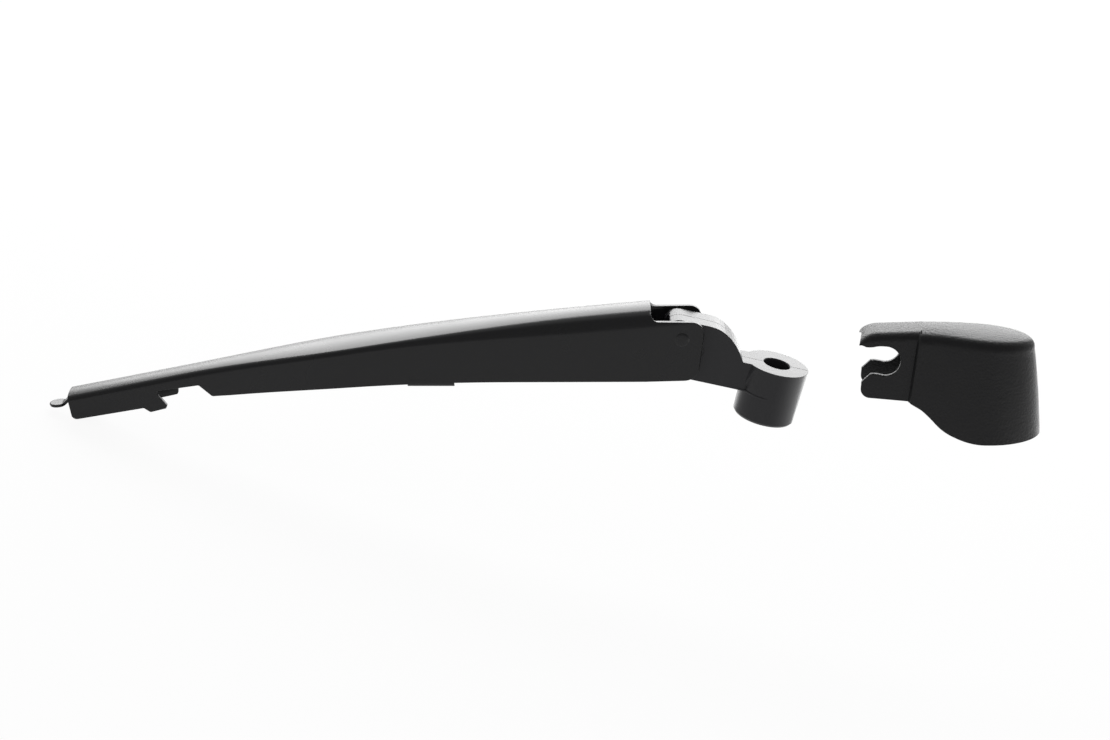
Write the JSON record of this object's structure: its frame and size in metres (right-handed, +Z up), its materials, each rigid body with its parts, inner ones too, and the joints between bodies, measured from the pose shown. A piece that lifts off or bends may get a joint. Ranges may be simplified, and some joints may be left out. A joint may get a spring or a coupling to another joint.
{
  "type": "rear wiper arm",
  "caption": "Sprung rear wiper arm with a pressed steel channel, a pivoting head with a spindle bore, and a clip-on cover cap laid beside it.",
  "frame": {"origin": "where the spindle bore's axis meets the top face of the head's boss", "axes": "+Z up the spindle bore and away from the glass, -X from the spindle towards the arm's tip, +Y to the arm's far side in the picture"},
  "size_m": [0.33, 0.0287, 0.1018],
  "materials": {
    "arm_paint": "satin black paint over pressed steel",
    "head_paint": "satin black paint over die-cast alloy",
    "link_steel": "zinc plated strip",
    "spring_steel": "oiled spring wire",
    "bush_nylon": "natural nylon",
    "cap_plastic": "fine-grained black moulding"
  },
  "bodies": {
    "head": {"head": "head_paint", "bush_near": "bush_nylon", "bush_far": "bush_nylon", "link_pin": "head_paint", "cover_cap": "cap_plastic"},
    "arm": {"arm_channel": "arm_paint", "pivot_pin": "arm_paint"},
    "link": {"spring_link": "link_steel", "tension_spring": "spring_steel"}
  },
  "joints": [
    {"name": "arm_hinge", "type": "hinge", "parent": "head", "child": "arm", "pos_m": [-0.03475, 0, 0.00445], "axis": [0, 1, 0], "range_deg": [0, 75], "stiffness_Nm_per_rad": 0.3, "springref_deg": -143.24, "deforming": ["tension_spring"]},
    {"name": "link_swing", "type": "hinge", "parent": "head", "child": "link", "pos_m": [-0.0282, 0, 0.0006], "axis": [0, 1, 0], "range_deg": [0, 69.3], "deforming": ["tension_spring"]}
  ],
  "couplings": [
    {"joint": "link_swing", "follows": "arm_hinge", "ratio": 0.923}
  ]
}
